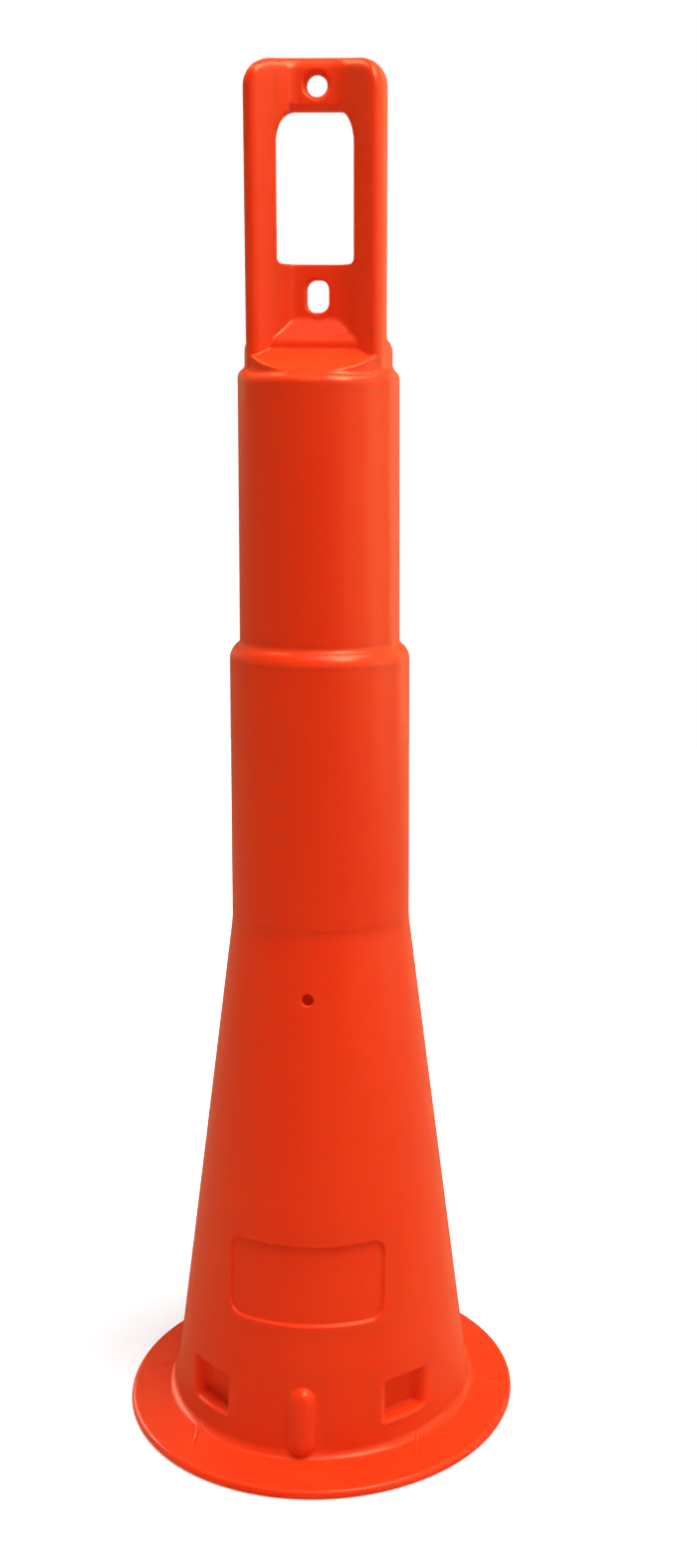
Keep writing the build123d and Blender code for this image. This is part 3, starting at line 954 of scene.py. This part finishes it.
def round_copies_tree():
    """Geometry tree that puts a turned copy of a piece on each point."""
    sockets = {"Points": "Geometry", "Piece": "Object", "Finish": "Material"}
    tree, given = new_tree("round_copies", sockets, "Copies")
    shape = add_node(tree, "GeometryNodeObjectInfo", inputs={"Object": given["Piece"]})
    turn = add_node(tree, "GeometryNodeInputNamedAttribute", {"data_type": "FLOAT"}, {"Name": "turn"})
    angles = add_node(tree, "ShaderNodeCombineXYZ", inputs={"Z": turn.outputs["Attribute"]})
    spot = add_node(tree, "GeometryNodeMeshToPoints", inputs={"Mesh": given["Points"]})
    copies = add_node(tree, "GeometryNodeInstanceOnPoints", inputs={
        "Points": spot.outputs["Points"], "Instance": shape.outputs["Geometry"],
        "Rotation": angles.outputs["Vector"]})
    return finish_tree(tree, copies.outputs["Instances"], given["Finish"], "Copies")


round_copies = round_copies_tree()


def copied(name, mesh, corner_normals, turns, nodes):
    """Copies of a mesh, turned about the upright axis."""
    first = new_object(name + "_first", mesh)
    seed = bpy.data.meshes.new(name)
    seed.from_pydata([(0, 0, 0)] * len(turns), [], [])
    seed.attributes.new("turn", "FLOAT", "POINT").data.foreach_set("value", np.radians(turns))
    piece = grow(name, seed, round_copies, {"Piece": first, "Finish": polyethylene})
    normals = []
    for turn in np.radians(turns):
        turning = np.array(Matrix.Rotation(turn, 3, "Z"))
        normals.append(corner_normals @ turning.T)
    piece.data.shade_smooth()
    piece.data.normals_split_custom_set(np.concatenate(normals).tolist())
    bpy.data.objects.remove(first)
    register(piece, nodes)
    return piece


print("copies tree", len(round_copies.nodes), "nodes")

# %% [markdown]
# A lock pocket has a level sill and a level ceiling, so that a lug of the base can hook in. The side
# near the front runs straight back, as the mould pulls, and the other side leans out as it rises. Two
# pockets are right-handed and two left-handed. Rays square to the cone would miss the ceiling and the
# far side, so they are spread inside the pocket, down to the sill, up to the ceiling and sideways.

# %% Lock pockets
pocket_bottom = 33.02
pocket_top = 64.22
pocket_depth = 12.1
pocket_mouth_radius = float(cone_radius(np.array((pocket_bottom + pocket_top) / 2)))
inner_reach = (22.5, 12.7)
sill_reach = (18.0, 16.0)
ceiling_reach = (33.0, 14.5)
pocket_inner_round = 2.4
pocket_edge_round = 2.8
near_slack = 0.78
far_slack = 0.7
pocket_lead = 8.0
sill_lean = -0.45
ceiling_lean = 0.6
far_lean = 0.45


def pocket_field(hand):
    """Field of the cone with one pocket at the front, right-handed or left-handed."""
    def field(x, y, z):
        depth = pocket_mouth_radius + y
        share = depth / pocket_depth
        inner = inner_reach[0] + (inner_reach[1] - inner_reach[0]) * share
        sill = sill_reach[0] + (sill_reach[1] - sill_reach[0]) * share
        ceiling = ceiling_reach[0] + (ceiling_reach[1] - ceiling_reach[0]) * share
        rise = (z - pocket_bottom) / (pocket_top - pocket_bottom)
        near_side = (-hand * x - inner) * near_slack
        far_side = (hand * x - sill - (ceiling - sill) * np.clip(rise, 0, 1)) * far_slack
        hollow = round_and(near_side, pocket_bottom - z, pocket_inner_round)
        hollow = round_and(hollow, far_side, pocket_inner_round)
        hollow = round_and(hollow, z - pocket_top, pocket_inner_round)
        hollow = round_and(hollow, depth - pocket_depth, pocket_inner_round)
        return round_and(plain_base(x, y, z), -hollow, pocket_edge_round)
    return field


def spread_rays(levels, turns, hand):
    """Rays through points on the plain cone, which spread out inside a pocket."""
    origin, ray = spin([cone_rows(levels)], np.radians(turns))
    touched = origin + ray_lead * ray
    up = np.interp(levels, [skirt_start, 31, 34, 48, 63, 66, window_top],
                   [0, sill_lean, sill_lean, 0, ceiling_lean, ceiling_lean, 0])
    aside = hand * np.interp(hand * turns, [-pocket_half_window, 2, 8, 13, pocket_half_window],
                             [0, 0, far_lean, far_lean, 0])
    ray = ray + up[:, None, None] * np.array([0.0, 0.0, 1.0])
    ray = ray + aside[None, :, None] * np.array([1.0, 0.0, 0.0])
    ray = ray / np.linalg.norm(ray, axis=-1, keepdims=True)
    return touched - pocket_lead * ray, ray


def lock_pockets(name, hand, turns, nodes):
    """Two pockets of one hand, on opposite sides of the cone."""
    lines = spread([-pocket_half_window, -12, -5, 4, 13.6, pocket_half_window], [0.9, 0.2, 0.8, 0.2, 0.7])
    lines = np.sort(hand * lines)
    levels = spread([skirt_start, 31.2, 41, 57, 66.6, window_top], [0.9, 0.33, 0.9, 0.33, 1.1])
    skin = net(pocket_field(hand), spread_rays(levels, lines, hand), np.full(len(levels), wall))
    mesh, normals = shell_mesh(name, skin)
    copied(name, mesh, normals, turns, nodes)


lock_pockets("right_hand_pockets", 1, [pocket_angle, pocket_angle - 180],
             ["lock_pocket_front_right", "lock_pocket_rear_left"])
lock_pockets("left_hand_pockets", -1, [-pocket_angle, 180 - pocket_angle],
             ["lock_pocket_front_left", "lock_pocket_rear_right"])

# %% [markdown]
# A key rib is a half-round bar with two domed ends that lies along the cone, just above the flange.

# %% Key ribs
rib_radius = 10.75
rib_top = 67.5
rib_foot = corner_height + 9.8
rib_stand_out = 7.5
rib_blend = 1.6
rib_fan_count = 61


def rib_field(x, y, z):
    """Cone and flange with one rib at the front."""
    along = np.array([0.0, math.sin(cone_angle), math.cos(cone_angle)])
    sunk = rib_radius - rib_stand_out - float(cone_radius(np.array(rib_foot)))
    foot = np.array([0.0, sunk, rib_foot])
    length = (rib_top - rib_radius - rib_foot) / along[2]
    reach = np.clip((y - foot[1]) * along[1] + (z - foot[2]) * along[2], 0, length)
    bar = np.sqrt(x ** 2 + (y - foot[1] - reach * along[1]) ** 2 + (z - foot[2] - reach * along[2]) ** 2)
    return round_or(plain_base(x, y, z), bar - rib_radius, rib_blend)


rib_levels = spread([skirt_start, 50, 70, window_top], [0.9, 0.6, 1.0])
rib_rows = [fan_rows(rib_fan_count), cone_rows(rib_levels)]
rib_fan_places = np.linspace(0, fan_count - 1, rib_fan_count)
rib_thickness = np.concatenate([np.interp(rib_fan_places, np.arange(fan_count), fan_thickness),
                                np.full(len(rib_levels), wall)])
rib_turn_lines = spread([-rib_half_window, -6.5, 6.5, rib_half_window], [0.7, 0.27, 0.7])
rib_skin = net(rib_field, spin(rib_rows, np.radians(rib_turn_lines)), rib_thickness)
rib_mesh, rib_normals = shell_mesh("key_rib", rib_skin)
copied("key_ribs", rib_mesh, rib_normals, rib_turns, ["key_rib_front", "key_rib_rear"])

# %% [markdown]
# The handle is the most shaped part. Seen from above it is a flat web with a rail on each side that
# slopes forward to a crest. Its top falls a little to the front, a large window lets a hand through,
# and a round hole and a slot take the bolt of a lamp.

# %% Handle field
rail_side_round = 8.0
rail_crest = handle_half_width - rail_side_round - 1.2
rail_crest_round = 2.5
web_half_width = 17.4
web_front = -8.0
web_corner_round = 3.2
handle_corner = 19.5
handle_back_round = 5.0
top_draft = math.radians(9.0)


def slope_distance(across, forward, start, end):
    """Distance in front of the straight slope from one point to another."""
    run = np.subtract(end, start)
    length = np.hypot(*run)
    return ((across - start[0]) * run[1] - (forward - start[1]) * run[0]) / length


def handle_outline(x, y, z):
    """Handle as a block, without its openings."""
    side = np.abs(x)
    rail_slope = slope_distance(side, y, (web_half_width, web_front), (rail_crest, handle_front))
    front = round_or(web_front - y, rail_slope, web_corner_round)
    front = round_and(front, handle_front - y, rail_crest_round)
    top = (z - handle_top - (y - handle_back) * math.tan(top_draft)) * math.cos(top_draft)
    outline = round_and(side - handle_half_width, top, handle_corner)
    block = round_and(front, outline, rail_side_round)
    return round_and(block, y - handle_back, handle_back_round)


print("rail crests stand", round(rail_crest, 2), "mm from the middle")

# %% Openings of the handle
grip_bottom = 927.7
grip_top = 1036.0
grip_half_width = 25.8
grip_draft = math.radians(10.6)
grip_front_round = 20.0
grip_back_round = 14.5
grip_round_stretch = 1.35
grip_bottom_round = 4.0
grip_edge_round = 1.7
bevel_height = 3.3
bevel_depth = 6.0
bevel_half_width = 19.5
hole_height = 1053.3
hole_radius = 7.75
hole_flare = 2.5
hole_front_depth = 4.0
hole_back_depth = 5.0
slot_height = 905.0
slot_width = 17.6
slot_length = 24.0
slot_corner = 7.5
bevel_side_round = 1.0
bevel_edge_round = 0.7
hole_edge_round = 1.0
slot_edge_round = 1.5
grip_middle = (grip_bottom + grip_top) / 2


def handle_field(x, y, z):
    """Handle with its window, bevel, hole and slot."""
    side = np.abs(x)
    body = handle_outline(x, y, z)
    grip_side = (side - grip_half_width - (y - handle_front) * math.tan(grip_draft)) * math.cos(grip_draft)
    top_round = np.interp(y, [handle_front, handle_back], [grip_front_round, grip_back_round])
    grip = round_and(grip_side, (z - grip_top) / grip_round_stretch, top_round)
    grip = round_and(grip, grip_bottom - z, grip_bottom_round)
    body = round_and(body, -grip, grip_edge_round)
    bevel_start = (web_front + bevel_depth, grip_top)
    bevel = -slope_distance(y, z, (web_front, grip_top + bevel_height), bevel_start)
    bevel = np.maximum(round_and(bevel, side - bevel_half_width, bevel_side_round), grip_middle - z)
    body = round_and(body, -bevel, bevel_edge_round)
    off_hole = np.hypot(x, z - hole_height)
    flare = hole_flare * np.clip((web_front + hole_front_depth - y) / hole_front_depth, 0, 2)
    flare = flare + hole_flare * np.clip((y - handle_back + hole_back_depth) / hole_back_depth, 0, 2)
    body = round_and(body, hole_radius + flare - off_hole, hole_edge_round)
    slot = rounded_rectangle(x, z - slot_height, slot_width, slot_length, slot_corner)
    return round_and(body, -slot, slot_edge_round)


print("grip window in front", 2 * grip_half_width, "by", round(grip_top - grip_bottom, 1), "mm")

# %% [markdown]
# Under the handle the round stub is cut away in front by two sloped facets with an upright band
# between them, so that rain and dirt run off and the rails stand free. A curved relief follows the
# lower end of the slot. The step below the stub lies a little lower in front than at the sides.

# %% Foot of the handle
stub_round = 12.0
stub_flat = stub_top - 0.5
bulge_bottom = shoulder_bottom - 1.5
bulge_top = shoulder_bottom + 8.5
side_lift = 4.5
front_start = 0.3
front_full = 0.75
step_slack = 0.95
facet_top = (-8.0, 888.7)
facet_brow = (-22.0, 871.5)
facet_chin = (-22.0, 864.9)
facet_bend = (-33.0, 855.8)
facet_toe = (-60.5, 847.6)
facet_hollow = 12.0
front_edge_round = 6.0
side_edge_round = 1.5
rail_foot = 848.5
relief_radius = 14.8
relief_height = 901.8
relief_round = 0.8
brow_round = 1.2
band_round = 1.6
rail_foot_round = 1.0
wedge_round = 1.4
hollow_round = 2.0
mouth_round = 0.8


def facets(y, z):
    """Cut-away in front of the stub: positive where the plastic is gone."""
    upper = slope_distance(y, z, facet_brow, facet_top)
    upper = round_and(-upper, facet_brow[0] - y, brow_round)
    steep = -slope_distance(y, z, facet_bend, facet_chin)
    shallow = -slope_distance(y, z, facet_toe, facet_bend)
    return upper, round_or(steep, shallow, facet_hollow)


def stub_distance(x, y, z):
    """Shoulder and stub before the facets are cut."""
    front_share = np.clip((-y / shoulder_radius - front_start) / (front_full - front_start), 0, 1)
    front_share = front_share ** 2 * (3 - 2 * front_share)
    level = z - side_lift * (1 - front_share)
    radius = step_in(level, bulge_bottom, bulge_top, shoulder_radius, stub_radius, shoulder_bulge_share)
    return round_and((np.hypot(x, y) - radius) * step_slack, z - stub_flat, stub_round)


def top_field(x, y, z):
    """Shoulder, stub, facets and handle in one."""
    upper, lower = facets(y, z)
    cut = round_or(upper, lower, band_round)
    stub = stub_distance(x, y, z)
    edge_round = np.interp(np.abs(x), [8, 24], [front_edge_round, side_edge_round])
    foot = round_and(stub, cut, edge_round)
    handle = round_and(handle_field(x, y, z), rail_foot - z, rail_foot_round)
    wedge = np.maximum(np.maximum(upper, np.abs(x) - rail_crest), np.maximum(shoulder_top - z, y))
    wedge = round_and(wedge, relief_radius - np.hypot(x, z - relief_height), relief_round)
    body = round_or(round_or(foot, handle, rail_foot_round), wedge, wedge_round)
    hollow = round_and(stub + wall, cut + wall, hollow_round)
    return round_and(body, -hollow, mouth_round)


probes = np.array([(0, 0, stub_top - stub_round), (0, 0, grip_middle), (handle_half_width, 0, grip_middle)])
print("inside is negative, at the stub, the window and a rail", np.round(top_field(*probes.T), 1))

# %% [markdown]
# A field with undercuts can't be caught by rays from one side. Surface nets do it: space is divided
# into small cells, each cell that the surface passes through gets one point, and neighbouring points
# are joined into quads. Each point is then drawn on to the exact surface.

# %% Surface nets
cell_size = 1.25
net_margin = 3.0
longest_pull = 0.6


def crossing_points(values, cells):
    """Mean of the points where the edges of a cell cross the surface."""
    total = np.zeros((len(cells), 3))
    count = np.zeros(len(cells))
    corners = [np.array([k >> 2 & 1, k >> 1 & 1, k & 1]) for k in range(8)]
    for start in corners:
        for end in corners:
            if np.sum(end - start) == 1 and np.sum(np.abs(end - start)) == 1:
                first = values[tuple((cells + start).T)]
                last = values[tuple((cells + end).T)]
                crosses = (first < 0) != (last < 0)
                share = np.where(crosses, first / np.where(crosses, first - last, 1), 0)
                total += np.where(crosses[:, None], start + share[:, None] * (end - start), 0)
                count += crosses
    return total / count[:, None]


def surface_net(field, lowest, highest):
    """Points and quads on the surface of a field within a box."""
    axes = [np.arange(first, last + cell_size, cell_size) for first, last in zip(lowest, highest)]
    values = field(*np.meshgrid(*axes, indexing="ij"))
    inside = values < 0
    shape = np.array(values.shape) - 1
    count = sum(inside[i:i + shape[0], j:j + shape[1], k:k + shape[2]].astype(int)
                for i in (0, 1) for j in (0, 1) for k in (0, 1))
    cells = np.argwhere((count > 0) & (count < 8))
    numbers = np.full(shape, -1)
    numbers[tuple(cells.T)] = np.arange(len(cells))
    points = np.array(lowest) + cell_size * (cells + crossing_points(values, cells))
    quads = []
    for axis in range(3):
        second, third = (axis + 1) % 3, (axis + 2) % 3
        ahead = np.roll(inside, -1, axis)
        spots = np.argwhere(inside != ahead)
        fits = (spots[:, axis] < shape[axis]) & (spots[:, second] > 0) & (spots[:, third] > 0)
        fits &= (spots[:, second] < shape[second]) & (spots[:, third] < shape[third])
        spots = spots[fits]
        ring = []
        for back in ((1, 1), (0, 1), (0, 0), (1, 0)):
            step = np.zeros(3, dtype=int)
            step[second], step[third] = back
            ring.append(numbers[tuple((spots - step).T)])
        ring = np.stack(ring, axis=1)
        outward = inside[tuple(spots.T)]
        quads.append(np.where(outward[:, None], ring, ring[:, ::-1]))
    return points, np.concatenate(quads)


def draw_on(field, points):
    """Move points along the field's slope on to its surface."""
    for _ in range(4):
        distance = field(*points.T)
        pull = np.clip(distance, -longest_pull, longest_pull)
        points = points - field_normals(field, points) * pull[:, None]
    return points


net_reach = shoulder_radius + net_margin
box_low = (-net_reach, -net_reach, shoulder_start - net_margin)
box_high = (net_reach, net_reach, handle_top + net_margin)
top_points, top_quads = surface_net(top_field, box_low, box_high)
top_points = draw_on(top_field, top_points)
print("handle skin", len(top_points), "points,", len(top_quads), "quads")

# %% [markdown]
# The skin is then cut by planes into the sections of the CAD model: shoulder, stub, two rails, top
# bar and lower web. Each cut is closed, so every section is a solid of its own, and the sections
# meet face to face.

# %% Cut the skin into sections
top_mesh = new_mesh("top_skin", top_points, top_quads.tolist())


def trim(shape, point, direction):
    """Cut a shape by a plane, keep what lies behind it, and close the cut."""
    everything = shape.verts[:] + shape.edges[:] + shape.faces[:]
    direction = np.array(direction) / np.linalg.norm(direction)
    bmesh.ops.bisect_plane(shape, geom=everything, dist=1e-6, plane_co=np.array(point) * mm,
                           plane_no=direction, clear_outer=True)
    rim = [edge for edge in shape.edges if edge.is_boundary]
    filled = bmesh.ops.triangle_fill(shape, edges=rim, use_beauty=True, normal=direction)
    cap = shape.faces.layers.int["cap"]
    for face in filled["geom"]:
        if isinstance(face, bmesh.types.BMFace):
            face[cap] = 1
            if face.normal.dot(direction) < 0:
                face.normal_flip()


def section(name, cuts, nodes):
    """Section of the top skin behind a few planes, as a piece."""
    shape = bmesh.new()
    shape.from_mesh(top_mesh)
    shape.faces.layers.int.new("cap")
    for point, direction in cuts:
        trim(shape, point, direction)
    cap = shape.faces.layers.int["cap"]
    shape.faces.ensure_lookup_table()
    flat = [face[cap] == 1 for face in shape.faces]
    mesh = bpy.data.meshes.new(name)
    shape.to_mesh(mesh)
    shape.free()
    mesh.materials.append(polyethylene)
    points = np.zeros(3 * len(mesh.vertices))
    mesh.vertices.foreach_get("co", points)
    shade(mesh, field_normals(top_field, points.reshape(-1, 3) / mm), flat)
    register(new_object(name, mesh), nodes)


grip_edge = (grip_half_width - handle_front * math.tan(grip_draft), 0, stub_top)
from_right = (math.cos(grip_draft), -math.sin(grip_draft), 0)
from_left = (-math.cos(grip_draft), -math.sin(grip_draft), 0)
left_edge = (-grip_edge[0], 0, stub_top)


def keep_above(height):
    """Cut that keeps what lies above a height."""
    return (0, 0, height), (0, 0, -1)


def keep_below(height):
    """Cut that keeps what lies below a height."""
    return (0, 0, height), (0, 0, 1)


section("shoulder_ring", [keep_above(shoulder_start), keep_below(shoulder_top)], ["top_shoulder"])
section("handle_stub", [keep_above(shoulder_top), keep_below(stub_top)], ["handle_base"])

# %% Sections of the handle
right_outside = (grip_edge, tuple(-value for value in from_right))
left_outside = (left_edge, tuple(-value for value in from_left))
section("right_rail", [keep_above(stub_top), right_outside], ["handle_right_rail"])
section("left_rail", [keep_above(stub_top), left_outside], ["handle_left_rail"])
between = [(grip_edge, from_right), (left_edge, from_left)]
section("lower_web", [keep_above(stub_top), *between, keep_below(grip_middle)],
        ["handle_lower_web", "front_gusset"])
section("top_bar", [keep_above(grip_middle), *between], ["handle_top_bar"])

# %% [markdown]
# Where the two halves of the mould meet, a fine ridge is left on the plastic. It runs in over the
# flange, up one side of the body, over the handle and down the other side. Short seams of the same
# kind lie on the flange below the pockets, where a mould insert ends. A ridge follows a path, so
# Geometry Nodes sweeps a small round section along it, and only the upper part of that section
# stands out of the wall.

# %% Seam tree
seam_sides = 10


def seam_tree():
    """Geometry tree that sweeps a round section along paths."""
    sockets = {"Paths": "Geometry", "Seam radius": "Float", "Finish": "Material"}
    tree, given = new_tree("seam", sockets, "Seams")
    line = add_node(tree, "GeometryNodeMeshToCurve", inputs={"Mesh": given["Paths"]})
    section_line = add_node(tree, "GeometryNodeCurvePrimitiveCircle", inputs={
        "Resolution": seam_sides, "Radius": given["Seam radius"]})
    ridge = add_node(tree, "GeometryNodeCurveToMesh", inputs={
        "Curve": line.outputs["Curve"], "Profile Curve": section_line.outputs["Curve"], "Fill Caps": True})
    soft = add_node(tree, "GeometryNodeSetShadeSmooth", inputs={"Geometry": ridge.outputs["Mesh"]})
    return finish_tree(tree, soft.outputs["Geometry"], given["Finish"], "Seams")


seam = seam_tree()


def seams(name, paths, radius):
    """Ridges along paths of points in millimetres."""
    points = np.concatenate(paths)
    edges = []
    start = 0
    for line in paths:
        edges += [(k, k + 1) for k in range(start, start + len(line) - 1)]
        start += len(line)
    seed = bpy.data.meshes.new(name)
    seed.from_pydata((points * mm).tolist(), edges, [])
    piece = grow(name, seed, seam, {"Seam radius": radius * mm, "Finish": polyethylene})
    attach(piece, "root")
    print(name, len(paths), "paths,", len(points), "points")


print("seam tree", len(seam.nodes), "nodes")

# %% Mould seams
parting_radius = 0.55
parting_sink = 0.25
side_steps = 70
corner_steps = 16
top_steps = 12


def sunk_hits(field, starts, directions, sink):
    """Points where rays meet a field, pushed a little below its surface."""
    return starts + directions * (cast(field, starts, directions) + sink)[..., None]


def side_rays():
    """Rays in the plane of the mould's joint: at the handle's side, its corner and its top."""
    levels = np.linspace(shoulder_start, handle_top - handle_corner, side_steps)
    turns = np.linspace(0, math.pi / 2, corner_steps)[1:-1]
    spots = np.linspace(handle_half_width - handle_corner, 0, top_steps)
    fan_out = np.stack([np.cos(turns), 0 * turns, np.sin(turns)], axis=1)
    fan_middle = np.array([handle_half_width - handle_corner, 0, handle_top - handle_corner])
    starts = [np.stack([0 * levels + 100, 0 * levels, levels], axis=1), fan_middle + 50 * fan_out]
    starts += [np.stack([spots, 0 * spots, 0 * spots + handle_top + 25], axis=1)]
    directions = [np.tile((-1.0, 0, 0), (side_steps, 1)), -fan_out, np.tile((0, 0, -1.0), (top_steps, 1))]
    return np.concatenate(starts), np.concatenate(directions)


base_rays = spin(flange_rows + skirt_rows, np.radians([90.0]))
base_path = sunk_hits(plain_base, *(part[:, 0] for part in base_rays), parting_sink)
sleeve_path = np.stack([step_radii - parting_sink, 0 * step_radii, step_heights], axis=1)
top_path = sunk_hits(top_field, *side_rays(), parting_sink)
right_half = np.concatenate([base_path, sleeve_path, top_path])
left_half = (right_half * (-1, 1, 1))[-2::-1]
seams("parting_line", [np.concatenate([right_half, left_half])], parting_radius)

# %% Insert seams on the flange
insert_radius = 2.0
insert_side = 89.0
insert_steps = 16
insert_reach = np.linspace(89.0, 113.0, insert_steps)
insert_sink = np.linspace(1.0, 1.75, insert_steps)


def insert_path(side, end):
    """Line on the flange that runs straight to the front or to the rear and fades out."""
    still = np.ones(insert_steps)
    starts = np.stack([side * insert_side * still, end * insert_reach, fan_height * still], axis=1)
    return sunk_hits(plain_base, starts, np.tile((0.0, 0.0, -1.0), (insert_steps, 1)), insert_sink)


seams("insert_seams", [insert_path(side, end) for side in (1, -1) for end in (1, -1)], insert_radius)
